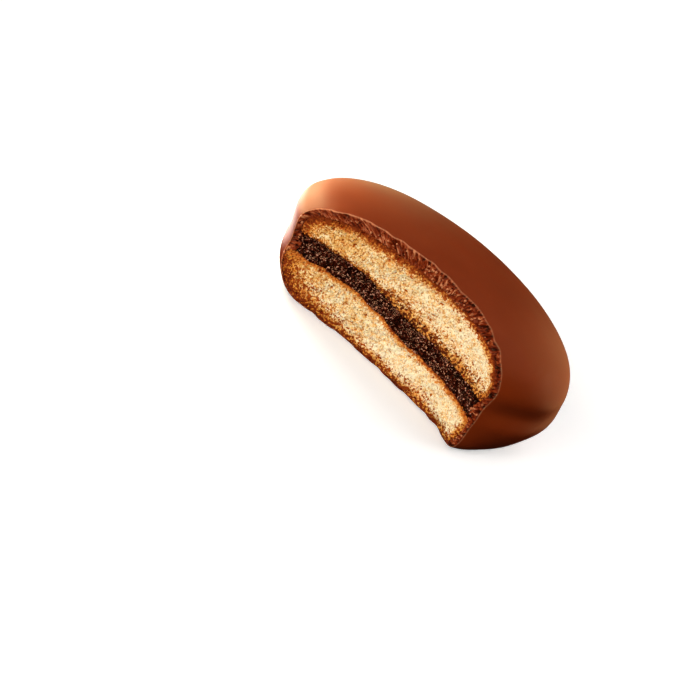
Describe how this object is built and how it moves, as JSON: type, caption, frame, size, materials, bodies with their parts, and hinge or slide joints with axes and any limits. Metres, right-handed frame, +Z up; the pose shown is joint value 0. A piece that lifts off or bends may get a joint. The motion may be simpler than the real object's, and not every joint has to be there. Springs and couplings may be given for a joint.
{
  "type": "chocolate-coated sandwich biscuit, broken",
  "caption": "Round domed sandwich biscuit in a milk-chocolate coat, one side broken off to show soft golden crumb and a dark cocoa cream layer.",
  "frame": {"origin": "centre of the round base, on the surface that the biscuit lies on", "axes": "+Z up through the dome, +X along the broken face, which looks along -Y"},
  "size_m": [0.0631, 0.0525, 0.0234],
  "materials": {
    "milk_chocolate": "smooth satin milk chocolate, ridged where it is broken",
    "biscuit_crumb": "dry open crumb, cream to golden, browned next to the coat",
    "cocoa_cream": "dense dark cream with a fine moist grain"
  },
  "bodies": {
    "root": {"coating": "milk_chocolate", "upper_biscuit": "biscuit_crumb", "filling": "cocoa_cream", "lower_biscuit": "biscuit_crumb"}
  },
  "joints": []
}
